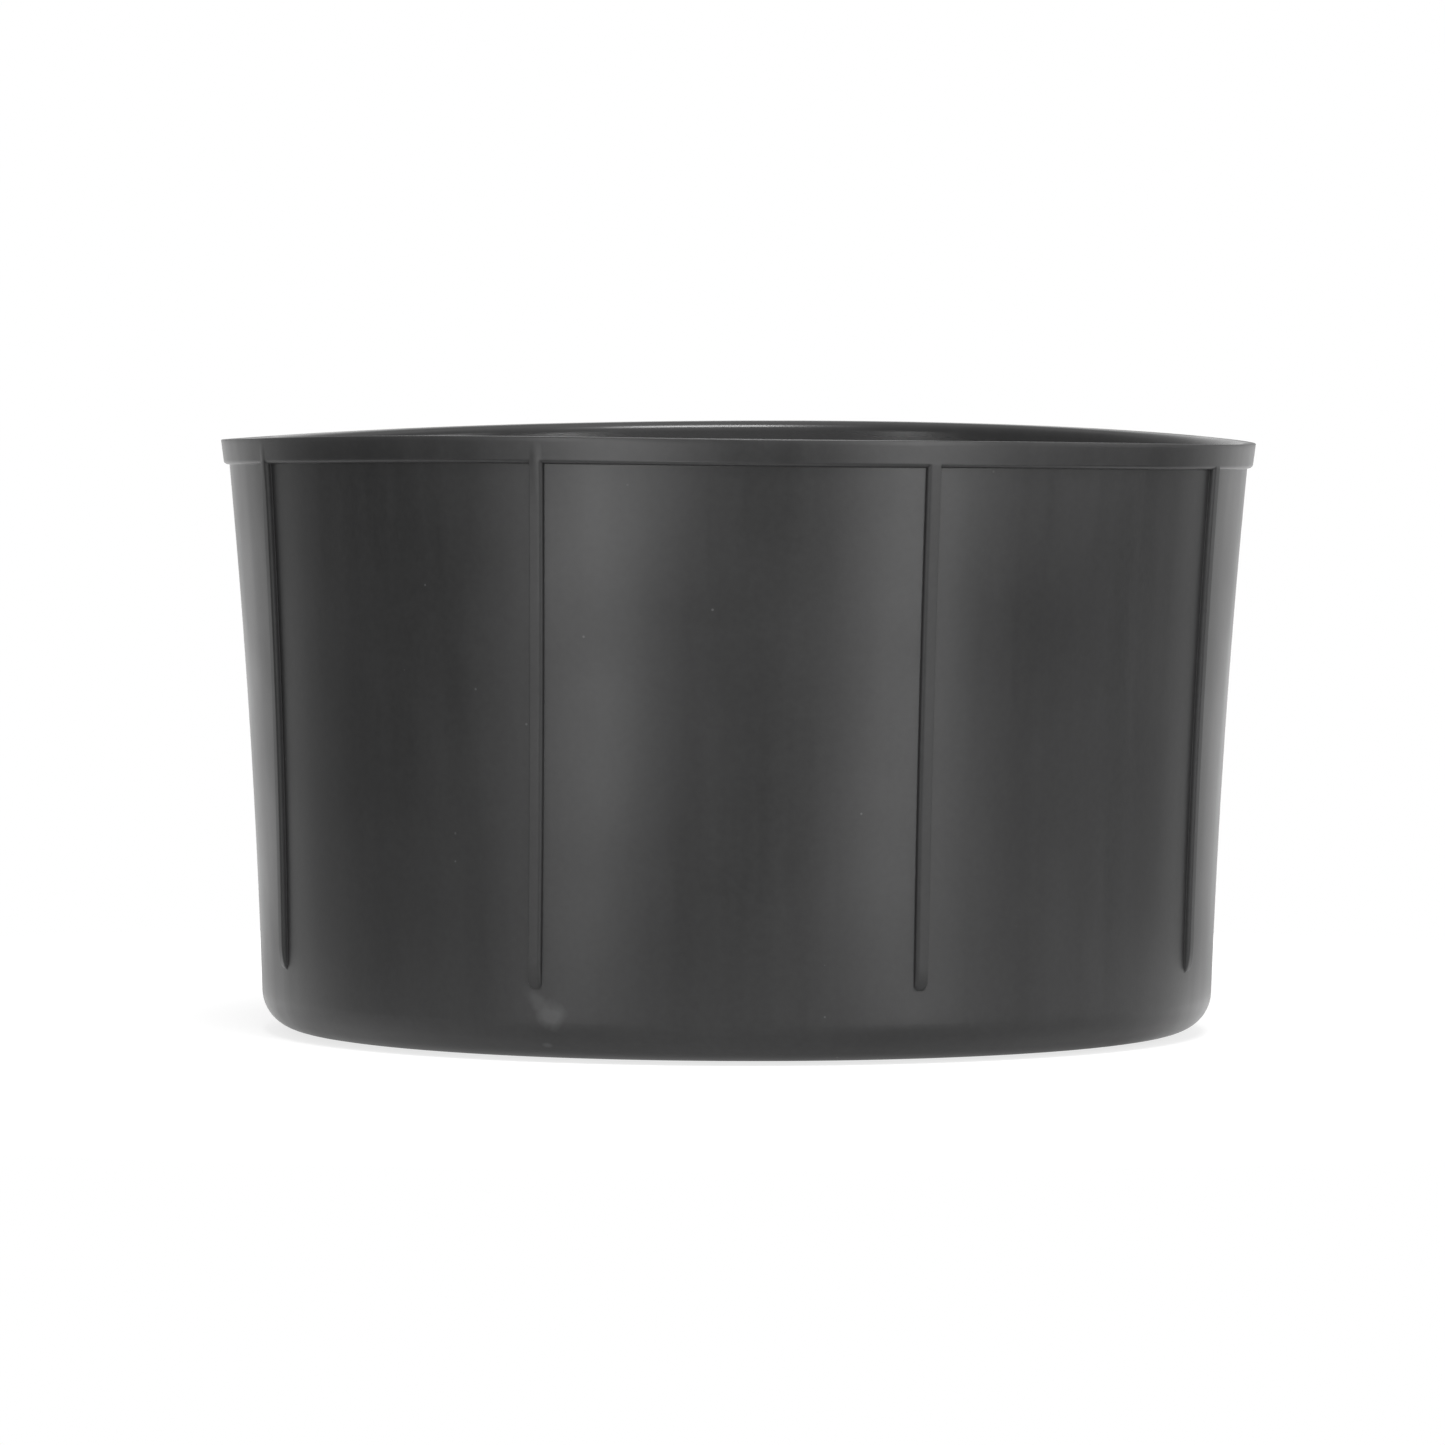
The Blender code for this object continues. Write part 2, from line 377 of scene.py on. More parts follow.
# %% [markdown]
# ## Turning one eighth of the bowl
#
# The bowl has eight ribs, so we spin only an eighth: widely spaced columns where the wall is plain,
# and the section's own columns where the rib will stand. Seven copies then complete the round. A full
# spin in even steps would need far more columns for the same sharp ribs.

# %% Turn the bowl
PLAIN_COLUMNS = 11

half_columns = [outer[0] - inner[0] for outer, inner in zip(RIB_SECTION, RIB_SECTION[1:])]
rib_sweeps = [(width / RIB_MEAN_RADIUS, 1) for width in half_columns + half_columns[::-1]]
plain_sweep = (PITCH / 2 - columns_half / RIB_MEAN_RADIUS, PLAIN_COLUMNS)
copies = RIB_COUNT - 1

for sweep, columns in [plain_sweep] + rib_sweeps + [plain_sweep]:
    bpy.ops.mesh.spin(steps=columns, angle=sweep, center=(0, 0, 0), axis=(0, 0, 1))
bpy.ops.mesh.select_all(action="SELECT")
bpy.ops.mesh.spin(steps=copies, dupli=True, angle=PITCH * copies, center=(0, 0, 0), axis=(0, 0, 1))
close_seams()
print("Turned bowl has", len(bowl.data.polygons), "faces")

# %% [markdown]
# ## Raising the ribs
#
# A rib runs out into the wall above the base and ends in a round nose. At the top its land runs
# straight on into the face of the band, and on the left a faint ridge goes on up the band. Extruded
# and bevelled faces could do it, but flank, nose and run-out all meet in one small place. It is easier
# to say how far a rib stands out at any point, and to move the points of the wall there.

# %% Shape of a rib
RIB_FOOT_PROUD = 0.00070
RIB_TOP_PROUD = BAND_FOOT_RADIUS - wall_radius(BAND_FACE_FOOT)
RIB_RIDGE = 0.00006
RIB_NOSE_CENTRE = RIB_START + foot_half


def ease(share):
    """Smooth step from 0 to 1."""
    share = min(max(share, 0), 1)
    return share * share * (3 - 2 * share)


def on_outside(radius, height):
    """Whether a point lies in the outer half of the wall's thickness, or further out."""
    return radius > wall_radius(height) - WALL_THICKNESS / 2


def beside_rib(x, y):
    """Distance from the middle of the nearest rib, below 0 on its rounded side."""
    turn = math.atan2(abs(x), abs(y)) / PITCH
    return (turn - math.floor(turn) - 0.5) * PITCH * RIB_MEAN_RADIUS


def rib_share(x, y, height):
    """Share of a rib's full height at a point of the wall."""
    beside = beside_rib(x, y)
    from_spine = max(math.hypot(beside, max(RIB_NOSE_CENTRE - height, 0)), SEAM)
    run_out = min(max((height - RIB_START) / RIB_RUN_OUT, 0), 1)
    crispness = (1 + beside / from_spine) / 2
    return section_share(from_spine, crispness) * math.sqrt(1 - (1 - run_out) ** 2)


def ribbed_radius(x, y, height):
    """Radius of the wall or the band with its ribs, at a point of the plain bowl."""
    plain = math.hypot(x, y)
    if not on_outside(plain, height) or height > BAND_FACE_TOP:
        return plain
    across = ease(1 - abs(beside_rib(x, y)) / foot_half) if x < 0 else 0
    ridge = RIB_RIDGE * across * ease(1 - abs(height - WALL_TOP) / BAND_HEIGHT)
    if height > BAND_FACE_FOOT:
        return plain + ridge
    proud = RIB_FOOT_PROUD + (RIB_TOP_PROUD - RIB_FOOT_PROUD) * height / BAND_FACE_FOOT
    return max(plain, wall_radius(height) + proud * rib_share(x, y, height)) + ridge


print("A rib stands out by", round(1000 * RIB_FOOT_PROUD, 2), "to", round(1000 * RIB_TOP_PROUD, 2), "mm")

# %% [markdown]
# ## Moving the wall out
#
# Each point near a rib moves straight away from the axis, so the columns of the mesh stay upright.
# At the top of a rib some rows then lie on one another, so the doubles are merged once more.

# %% Raise the ribs
moved = 0
for vertex in bowl.data.vertices:
    x, y, height = vertex.co.x, vertex.co.y, vertex.co.z - BASE_Z
    if height > RIB_START and abs(beside_rib(x, y)) < foot_half:
        stretch = ribbed_radius(x, y, height) / math.hypot(x, y)
        vertex.co.x *= stretch
        vertex.co.y *= stretch
        moved += stretch > 1

bpy.ops.object.mode_set(mode="EDIT")
close_seams()
print("Points moved out to the ribs:", moved)

# %% [markdown]
# ## Where the plastic gets rubbed, and a painted highlight
#
# The rim, the lands of the ribs and the lower corner are what hands, brushes and other bowls touch.
# The lower edge of the band is palest of all. There the pale line is a painted highlight that stands in
# for the light the edge catches. We could paint this on the mesh by hand. A function is surer here,
# because the sizes above say where each edge lies.

# %% Rubbed places and the painted edge highlight
RIM_RUB = 0.15
CORNER_RUB = 0.10
LAND_RUB = 0.09
EDGE_SHEEN = 0.6
EDGE_SHEEN_MIDDLE = WALL_TOP + 0.3 * BAND_EDGE_ROUND
EDGE_SHEEN_REACH = 0.6 * BAND_EDGE_ROUND
EDGE_SHEEN_FULL = 1.2
RIM_REACH = 2 * RIM_INNER_ROUND


def rub_and_edge_sheen(x, y, height):
    """From 0 on sheltered wall to 1 on the edges that are handled, with a painted highlight along the
    band's lower edge.
    """
    radius = math.hypot(x, y)
    on_rim = RIM_RUB * ease((height - BODY_HEIGHT + RIM_REACH) / RIM_REACH)
    if not on_outside(radius, height):
        return on_rim
    on_corner = CORNER_RUB * ease(1 - height / OUTER_CORNER) if radius > channel_outer else 0
    on_rib = LAND_RUB * rib_share(x, y, height) if height < WALL_TOP else 0
    # Painted highlight: a pale line along the band's lower edge that stands in for light caught there.
    edge_sheen = EDGE_SHEEN * ease(EDGE_SHEEN_FULL - abs(height - EDGE_SHEEN_MIDDLE) / EDGE_SHEEN_REACH)
    edge_sheen *= 1 - rib_share(x, y, height) if radius > BAND_FOOT_RADIUS - BAND_EDGE_ROUND else 0
    return max(on_rim, on_corner, on_rib, edge_sheen)


# The printed value is the strength of the painted highlight on the band's lower edge.
print("Rub at the middle of the band's lower edge:", EDGE_SHEEN)

# %% [markdown]
# ## Where the plastic is shiny or dull
#
# The brush polishes the inner edge of the rim. The rounded flanks of the ribs are dull, because the
# slots that mould them are hard to polish, and the lands on the right are duller than those on the
# left. Both measures are stored as attributes of the mesh, and the material reads them later. An
# attribute belongs to the points, so it stays in place when the bowl is bent or turned.

# %% Rub, painted edge highlight and polish attributes
LEFT_LAND_DULL = 0.2
RIGHT_LAND_DULL = 0.55
FLANK_DULL = 0.8
FLANK_START = 0.8 / 3
FLANK_REACH = 1 / 3
LAND_RADIUS = BAND_FOOT_RADIUS - BAND_PROUD / 4


def rib_dullness(x, y, height):
    """How dull a rib is at a point, fading out where its land runs into the band."""
    inwards = -beside_rib(x, y) / foot_half
    land = RIGHT_LAND_DULL if x > 0 else LEFT_LAND_DULL
    dull = land + (FLANK_DULL - land) * ease((inwards - FLANK_START) / FLANK_REACH)
    if math.hypot(x, y) > LAND_RADIUS:
        dull *= ease((BAND_FACE_FOOT - height) / BAND_EDGE_ROUND)
    return dull


def polish(x, y, height):
    """1 on the inner edge of the rim, where the brush is wiped, and below 0 on a dull rib."""
    radius = math.hypot(x, y)
    on_rib = RIB_START < height <= BAND_FACE_FOOT and abs(beside_rib(x, y)) <= foot_half
    if on_rib and on_outside(radius, height):
        return -rib_dullness(x, y, height)
    if radius < inner_radius + RIM_INNER_ROUND:
        return ease((height - BODY_HEIGHT + RIM_REACH) / RIM_INNER_ROUND)
    return 0


# The rub attribute holds wear on handled edges and the painted highlight on the band's lower edge.
for name, measure in (("rub_and_edge_sheen", rub_and_edge_sheen), ("polish", polish)):
    layer = bowl.data.attributes.new(name, "FLOAT", "POINT")
    for vertex, value in zip(bowl.data.vertices, layer.data):
        value.value = measure(vertex.co.x, vertex.co.y, vertex.co.z - BASE_Z)
print("Attributes on", len(bowl.data.vertices), "points")

# %% [markdown]
# ## A rim that has settled
#
# Thin plastic moves a little as it leaves the mould. In the photo the rim is a slight saddle: its
# front and back stand about one and a half millimetres higher than its sides, which makes the front
# edge look straight although we look down on it. A few waves round the rim describe that. A wave that
# rises once round the rim nods or tilts it, one that rises twice makes the saddle and its twist, and
# smaller ones do the rest. Points moved by hand could leave bumps where a wave stays smooth.

# %% Lift of the rim
RIM_RISE = 0.00014
RIM_NOD = 0.00008
RIM_TILT = -0.00005
RIM_SADDLE = 0.00079
RIM_TWIST = -0.00027
RIM_THREE_WAVE = -0.00014
RIM_FOUR_WAVE = -0.00010


def rim_lift(turn):
    """Lift of the rim at an angle from the front."""
    return (
        RIM_RISE
        + RIM_NOD * math.cos(turn)
        + RIM_TILT * math.sin(turn)
        + RIM_SADDLE * math.cos(2 * turn)
        + RIM_TWIST * math.sin(2 * turn)
        + RIM_THREE_WAVE * math.cos(3 * turn)
        + RIM_FOUR_WAVE * math.cos(4 * turn)
    )


side_lift = rim_lift(math.pi / 2)
print("Rim lift in mm, front and side:", round(1000 * rim_lift(0), 2), round(1000 * side_lift, 2))

# %% [markdown]
# ## Ribs that lean
#
# The ribs have moved too. For each rib, counted round to the right from the front, we write its turn
# in degrees at the base and at the rim, so it leans a little and stays straight. No rib turns by more
# than five degrees between the two. The wall between two ribs blends their turns, and all of the bowl
# moves in one pass, because the lift of the rim is told from where a point stood before its turn.

# %% Relax the bowl
RIB_TURNS = (
    (-0.93, -1.20),
    (0.90, -1.74),
    (0.20, -0.60),
    (0.00, 0.00),
    (0.00, 0.00),
    (-1.00, 1.00),
    (-2.03, 2.81),
    (-1.70, 0.40),
)


def swing(turn, share):
    """Turn of a point about the axis, blended between the two ribs that it lies between."""
    place = turn / PITCH - 0.5
    before = math.floor(place)
    blend = ease(place - before)
    turns = []
    for rib in (before, before + 1):
        foot, top = RIB_TURNS[rib % RIB_COUNT]
        turns.append(foot + (top - foot) * share)
    return math.radians(turns[0] * (1 - blend) + turns[1] * blend)


for vertex in bowl.data.vertices:
    x, y = vertex.co.x, vertex.co.y
    radius = math.hypot(x, y)
    share = (vertex.co.z - BASE_Z) / BODY_HEIGHT
    turn = math.atan2(x, -y)
    moved_turn = turn + swing(turn, max(share, RIB_START / BODY_HEIGHT))
    vertex.co.x = radius * math.sin(moved_turn)
    vertex.co.y = -radius * math.cos(moved_turn)
    if radius > RING_RADIUS:
        vertex.co.z += share * share * rim_lift(turn)
leans = [abs(top - foot) for foot, top in RIB_TURNS]
print("Largest turn between base and rim:", round(max(leans), 2), "degrees")

# %% [markdown]
# ## The rubber ring
#
# It is a separate piece, moulded in a grippy rubber and pressed into its channel. Its lower face has
# two shallow grooves, which let water escape on a wet worktop. It is drawn and spun like the bowl.

# %% Turn the ring
RING_EDGE_ROUND = 0.0005
RING_EDGE_STEPS = 5
GROOVE_DEPTH = 0.0003
GROOVE_HALF = 0.00045
GROOVE_PLACES = (1 / 3, 2 / 3)
RING_COLUMNS = 192

ring_inner = RING_RADIUS - RING_WIDTH
inner_edge = (ring_inner + RING_EDGE_ROUND, RING_EDGE_ROUND)
outer_edge = (RING_RADIUS - RING_EDGE_ROUND, RING_EDGE_ROUND)
ring_outline = arc(inner_edge, RING_EDGE_ROUND, 180, 270, RING_EDGE_STEPS)
for share in GROOVE_PLACES:
    middle = ring_inner + RING_WIDTH * share
    ring_outline += step_up(middle - GROOVE_HALF, 0, GROOVE_DEPTH)
    ring_outline += step_down(middle + GROOVE_HALF, GROOVE_DEPTH, 0)
ring_outline += arc(outer_edge, RING_EDGE_ROUND, 270, 360, RING_EDGE_STEPS)
top_row = RING_TOP - MOULD_ROUND
ring_outline += arc((RING_RADIUS - MOULD_ROUND, top_row), MOULD_ROUND, 0, 90, MOULD_STEPS)
ring_outline += arc((ring_inner + MOULD_ROUND, top_row), MOULD_ROUND, 90, 180, MOULD_STEPS)
ring_outline.append(ring_outline[0])

grip_ring = draw_outline("grip_ring", ring_outline, 0)
bpy.ops.mesh.spin(steps=RING_COLUMNS, angle=2 * math.pi, center=(0, 0, 0), axis=(0, 0, 1))
close_seams()
print("Ring has", len(grip_ring.data.polygons), "faces")

# %% [markdown]
# ## Smooth shading
#
# Both pieces are round, so their faces are shaded smooth, and only true corners stay sharp. Shading
# everything smooth would smear light round those corners.

# %% Shade
SMOOTH_ANGLE = math.radians(40)

for piece in (bowl, grip_ring):
    bpy.ops.object.select_all(action="DESELECT")
    piece.select_set(True)
    bpy.context.view_layer.objects.active = piece
    bpy.ops.object.shade_smooth_by_angle(angle=SMOOTH_ANGLE)
    print(piece.name, "keeps", sum(edge.use_edge_sharp for edge in piece.data.edges), "sharp edges")

# %% [markdown]
# ## Tools for the finishes
#
# A finish is a small network of nodes. In the shader editor we would add each node and drag its links
# by hand. The helpers below do the same few moves: a node with its settings, a stretched range, a sum
# of two values, a noise and a ramp from dark to light.

# %% Material helpers
def new_finish(name):
    """A material with its node tree and its shader."""
    material = bpy.data.materials.new(name)
    material.use_nodes = True
    return material, material.node_tree, material.node_tree.nodes["Principled BSDF"]


def add_node(tree, kind, values=None, **settings):
    """A node with some of its settings, and the values of some of its sockets."""
    node = tree.nodes.new(kind)
    for setting, value in settings.items():
        setattr(node, setting, value)
    for socket, value in (values or {}).items():
        node.inputs[socket].default_value = value
    return node


def scaled(tree, source, low, high, new_low, new_high):
    """Stretch a texture's range to another, clamped at both ends."""
    values = {"From Min": low, "From Max": high, "To Min": new_low, "To Max": new_high}
    node = add_node(tree, "ShaderNodeMapRange", values)
    tree.links.new(source, node.inputs["Value"])
    return node.outputs["Result"]


def combine(tree, operation, first, second):
    """Add, multiply or compare two sockets."""
    node = add_node(tree, "ShaderNodeMath", operation=operation)
    tree.links.new(first, node.inputs[0])
    tree.links.new(second, node.inputs[1])
    return node.outputs[0]


def noise(tree, place, scale, detail):
    """A noise texture read at a place."""
    node = add_node(tree, "ShaderNodeTexNoise", {"Scale": scale, "Detail": detail})
    tree.links.new(place, node.inputs["Vector"])
    return node.outputs["Fac"]


def ramp(tree, source, dark, light):
    """Grey or colour that goes from dark to light with a value."""
    node = add_node(tree, "ShaderNodeValToRGB")
    node.color_ramp.elements[0].color = (*dark, 1)
    node.color_ramp.elements[1].color = (*light, 1)
    tree.links.new(source, node.inputs["Fac"])
    return node.outputs["Color"]


plastic, tree, shader = new_finish("satin_black_plastic")
print("A new finish starts with", len(tree.nodes), "nodes")

# %% [markdown]
# ## Satin black plastic
#
# The bowl is polypropylene, coloured black all through. Up close such a surface is never one flat
# tone: the mould has a fine grain, the flow of the melt leaves faint upright streaks, fingers make
# some patches a little shinier, and specks of dust sit on it. Each is a small procedural texture on
# Object coordinates, which is the mesh's own space, so nothing slides when the view changes. For each
# noise we write its scale and its detail.

# %% Grain, streaks and dust
MOTTLE = (55, 3)
STREAKS = (260, 2)
FINGERS = (30, 4)
GRAIN = (3200, 2)
CLOUD = (1100, 3)
STREAK_STRETCH = (1, 1, 0.06)
SPECK_SCALE = 300
SPECK_EDGE = (0.035, 0.06)
SPECK_PICK = (0.80, 0.84)

place = add_node(tree, "ShaderNodeTexCoord").outputs["Object"]
upright = add_node(tree, "ShaderNodeMapping", {"Scale": STREAK_STRETCH})
tree.links.new(place, upright.inputs["Vector"])

mottle = noise(tree, place, *MOTTLE)
streaks = noise(tree, upright.outputs["Vector"], *STREAKS)
fingers = noise(tree, place, *FINGERS)
grain = noise(tree, place, *GRAIN)
cloud = noise(tree, place, *CLOUD)

specks = add_node(tree, "ShaderNodeTexVoronoi", {"Scale": SPECK_SCALE})
tree.links.new(place, specks.inputs["Vector"])
speck_dot = scaled(tree, specks.outputs["Distance"], *SPECK_EDGE, 1, 0)
speck_pick = scaled(tree, specks.outputs["Color"], *SPECK_PICK, 0, 1)
dust = combine(tree, "MULTIPLY", speck_dot, speck_pick)
print("Textures bring the plastic to", len(tree.nodes), "nodes")

# %% [markdown]
# ## A scuff and a painted glint
#
# A pale scuff runs down from the foot of one rib, where the bowl was set against something hard. Below
# it lies a painted glint: a small pale spot that stands in for a glint of light, with no dent in the
# mesh. Both are soft spots of paler tone, too shallow to reach the inside of the wall. The scuff's
# outline is made ragged by a noise that pushes the coordinates about.

# %% Scuff and painted glint
PALE_SPOT_TURN = math.radians(-22)
PALE_SPOT_DEPTH = 0.0014
PALE_SPOT_CORE = 0.6
RAGGED_NOISE = {"Scale": 420, "Detail": 3}
RAGGED_CENTRE = (0.5, 0.5, 0.5)
RAGGED_PUSH = (0.0022, 0.0, 0.0022)
SCUFF_HEAD = {"half_length": 0.0025, "half_width": 0.0021, "slope": 30, "strength": 0.50}
SCUFF_TAIL = {"half_length": 0.0037, "half_width": 0.0014, "slope": 42, "strength": 0.30}
PAINTED_GLINT = {"half_length": 0.0009, "half_width": 0.0004, "slope": 0, "strength": 0.40}
SCUFF_HEAD_PLACE = (-0.0242, -0.0598, 0.0064)
SCUFF_TAIL_PLACE = (-0.0253, -0.0593, 0.0076)
PAINTED_GLINT_PLACE = (-0.0247, -0.0582, 0.0023)


def scuff_and_glint_spot(tree, place, centre, half_length, half_width, slope, strength):
    """A soft pale spot on the wall, for the scuff and for the painted glint, its long axis sloping down
    to the right by some degrees.
    """
    values = {
        "Location": centre,
        "Rotation": (0, math.radians(slope), PALE_SPOT_TURN),
        "Scale": (half_length, PALE_SPOT_DEPTH, half_width),
    }
    spot_place = add_node(tree, "ShaderNodeMapping", values, vector_type="TEXTURE")
    tree.links.new(place, spot_place.inputs["Vector"])
    spot = add_node(tree, "ShaderNodeTexGradient", gradient_type="SPHERICAL")
    tree.links.new(spot_place.outputs["Vector"], spot.inputs["Vector"])
    return scaled(tree, spot.outputs["Fac"], 0, PALE_SPOT_CORE, 0, strength)


push = add_node(tree, "ShaderNodeTexNoise", RAGGED_NOISE)
tree.links.new(place, push.inputs["Vector"])
centred = add_node(tree, "ShaderNodeVectorMath", {1: RAGGED_CENTRE}, operation="SUBTRACT")
tree.links.new(push.outputs["Color"], centred.inputs[0])
pushed = add_node(tree, "ShaderNodeVectorMath", {1: RAGGED_PUSH}, operation="MULTIPLY_ADD")
tree.links.new(centred.outputs["Vector"], pushed.inputs[0])
tree.links.new(place, pushed.inputs[2])
ragged = pushed.outputs["Vector"]

head = scuff_and_glint_spot(tree, ragged, SCUFF_HEAD_PLACE, **SCUFF_HEAD)
tail = scuff_and_glint_spot(tree, ragged, SCUFF_TAIL_PLACE, **SCUFF_TAIL)
# Painted glint: a small pale spot below the scuff that stands in for a glint of light.
painted_glint = scuff_and_glint_spot(tree, place, PAINTED_GLINT_PLACE, **PAINTED_GLINT)
scuff_and_glint = combine(tree, "MAXIMUM", combine(tree, "MAXIMUM", head, tail), painted_glint)
print("Scuff and nick, mm up:", round(1000 * SCUFF_HEAD_PLACE[2], 1), round(1000 * PAINTED_GLINT_PLACE[2], 1))

# %% [markdown]
# ## Tone of the plastic
#
# All of these add up to one value, and a ramp turns it into a dark grey. Rubbed edges are paler than
# sheltered wall. The painted highlight along the band's lower edge and the painted glint below the scuff
# are pale too, and dust is palest. One image texture could hold it all, but it would need a map of the
# bowl's surface, and it would blur close up.

# %% Tone
PLASTIC_DARK = (0.0052, 0.0052, 0.0054)
PLASTIC_LIGHT = (0.060, 0.060, 0.061)
NOISE_RANGE = (0.3, 0.7)
MOTTLE_TONE = (0, 0.05)
STREAK_TONE = (0, 0.05)
CLOUD_TONE = (-0.02, 0.04)
RUB_AND_SHEEN_TONE = (0, 0.35)
DUST_TONE = (0, 0.8)

rub_and_sheen = add_node(tree, "ShaderNodeAttribute", attribute_name="rub_and_edge_sheen").outputs["Fac"]
mottle_tone = scaled(tree, mottle, *NOISE_RANGE, *MOTTLE_TONE)
streak_tone = scaled(tree, streaks, *NOISE_RANGE, *STREAK_TONE)
tone = combine(tree, "ADD", mottle_tone, streak_tone)
tone = combine(tree, "ADD", tone, scaled(tree, cloud, *NOISE_RANGE, *CLOUD_TONE))
# Paler tone from wear, and from the painted highlight on the band's lower edge.
tone = combine(tree, "ADD", tone, scaled(tree, rub_and_sheen, 0, 1, *RUB_AND_SHEEN_TONE))
tone = combine(tree, "ADD", tone, scuff_and_glint)
tone = combine(tree, "MAXIMUM", tone, scaled(tree, dust, 0, 1, *DUST_TONE))
tree.links.new(ramp(tree, tone, PLASTIC_DARK, PLASTIC_LIGHT), shader.inputs["Base Color"])
print("Tone runs from", PLASTIC_DARK[0], "to", PLASTIC_LIGHT[0])

# %% [markdown]
# ## Gloss of the plastic
#
# Satin plastic mirrors the room softly. Where fingers have been it is a little shinier, where the
# brush is wiped it is shinier still, and the ribs are duller. Two bumps keep the mirror image from
# looking too perfect: a gentle swell of the wall, and the fine pits of the mould.

# %% Gloss and bump
FINGER_RANGE = (0.35, 0.7)
FINGER_ROUGHNESS = (0.40, 0.47)
STREAK_ROUGHNESS = (-0.015, 0.015)
POLISH_ROUGHNESS = (-0.18, 0.18)
PLASTIC_IOR = 1.49
SWELL = {"Strength": 0.12, "Distance": 0.0006}
PITS = {"Strength": 0.10, "Distance": 0.00005}

finger_gloss = scaled(tree, fingers, *FINGER_RANGE, *FINGER_ROUGHNESS)
streak_gloss = scaled(tree, streaks, *NOISE_RANGE, *STREAK_ROUGHNESS)
gloss = combine(tree, "ADD", finger_gloss, streak_gloss)
wiped = add_node(tree, "ShaderNodeAttribute", attribute_name="polish").outputs["Fac"]
gloss = combine(tree, "SUBTRACT", gloss, scaled(tree, wiped, -1, 1, *POLISH_ROUGHNESS))
tree.links.new(gloss, shader.inputs["Roughness"])
shader.inputs["IOR"].default_value = PLASTIC_IOR

swell = add_node(tree, "ShaderNodeBump", SWELL)
tree.links.new(fingers, swell.inputs["Height"])
pitted = add_node(tree, "ShaderNodeBump", PITS)
tree.links.new(grain, pitted.inputs["Height"])
tree.links.new(swell.outputs["Normal"], pitted.inputs["Normal"])
tree.links.new(pitted.outputs["Normal"], shader.inputs["Normal"])
bowl.data.materials.append(plastic)
print("Bowl plastic has", len(tree.nodes), "nodes")

# %% [markdown]
# ## Black rubber
#
# Rubber is duller than the plastic and a little grey, because it blooms and picks up dust. Fine
# grain in the bump keeps it from looking like the same plastic.

# %% Ring rubber
RUBBER_DARK = (0.010, 0.010, 0.010)
RUBBER_LIGHT = (0.030, 0.030, 0.029)
RUBBER_IOR = 1.52
BLOOM = (120, 4)
BLOOM_TONE = (0.3, 0.75, 0, 1)
BLOOM_ROUGHNESS = (0.3, 0.7, 0.72, 0.90)
PORES = (5200, 2)
PORE_BUMP = {"Strength": 0.35, "Distance": 0.00006}

rubber, tree, shader = new_finish("black_rubber")
place = add_node(tree, "ShaderNodeTexCoord").outputs["Object"]
bloom = noise(tree, place, *BLOOM)
pores = noise(tree, place, *PORES)
bloomed = ramp(tree, scaled(tree, bloom, *BLOOM_TONE), RUBBER_DARK, RUBBER_LIGHT)
tree.links.new(bloomed, shader.inputs["Base Color"])
tree.links.new(scaled(tree, bloom, *BLOOM_ROUGHNESS), shader.inputs["Roughness"])
shader.inputs["IOR"].default_value = RUBBER_IOR
porous = add_node(tree, "ShaderNodeBump", PORE_BUMP)
tree.links.new(pores, porous.inputs["Height"])
tree.links.new(porous.outputs["Normal"], shader.inputs["Normal"])
grip_ring.data.materials.append(rubber)
print("Ring rubber has", len(tree.nodes), "nodes")

# %% [markdown]
# ## The table it stands on
#
# A small pale table top carries the soft shadow under the bowl. Towards its edge it turns into the
# same white as the studio, so no edge shows. A larger floor would do as well, but it would hide the
# low lamps that come later.

# %% Table top
TABLE_RADIUS = 0.21
TABLE_SIDES = 128
TABLE_COLOUR = (0.82, 0.82, 0.82, 1)
TABLE_FADE = (0.07, 0.17)
TABLE_GLOW = 0.62

bpy.ops.object.select_all(action="DESELECT")
bpy.ops.mesh.primitive_circle_add(vertices=TABLE_SIDES, radius=TABLE_RADIUS, fill_type="NGON")
table = bpy.context.object
table.name = "table_top"
table_finish = bpy.data.materials.new("pale_table")
table_finish.use_nodes = True
tree = table_finish.node_tree
tree.nodes.clear()

place = add_node(tree, "ShaderNodeTexCoord").outputs["Object"]
from_axis = add_node(tree, "ShaderNodeVectorMath", operation="LENGTH")
tree.links.new(place, from_axis.inputs[0])
reach = from_axis.outputs["Value"]
path = add_node(tree, "ShaderNodeLightPath")
seen = combine(tree, "MAXIMUM", path.outputs["Is Camera Ray"], path.outputs["Is Glossy Ray"])
seen = combine(tree, "MAXIMUM", seen, path.outputs["Is Transmission Ray"])
white_share = combine(tree, "MULTIPLY", scaled(tree, reach, *TABLE_FADE, TABLE_GLOW, 1), seen)
lit = add_node(tree, "ShaderNodeBsdfDiffuse", {"Color": TABLE_COLOUR})
print("Table top is", round(2000 * TABLE_RADIUS), "mm across")

# %% [markdown]
# ## The white of the table
#
# The bowl mirrors the table in its lower wall and at its two outer edges. There the table looks white
# behind and beside the bowl, and in front of it dimmer further out and to the right. That white is for
# the camera and for reflections only. As real light it would brighten the wall and the shadow as well.

# %% Table white
TABLE_SEEN = 1.22
MIRRORED_REACH = (0.08, 0.14)
MIRRORED_WHITE = (1.0, 0.16)
RIGHT_SHADE = (0.0, 0.06, 1.0, 0.72)
BEHIND_REACH = (0.03, 0.12)
BEHIND_WHITE = 1.9
BESIDE_REACH = (-0.05, 0.01)
BESIDE_FADE = (0.09, 0.14)
BESIDE_WHITE = (-0.05, 0.05, 2.4, 2.8)

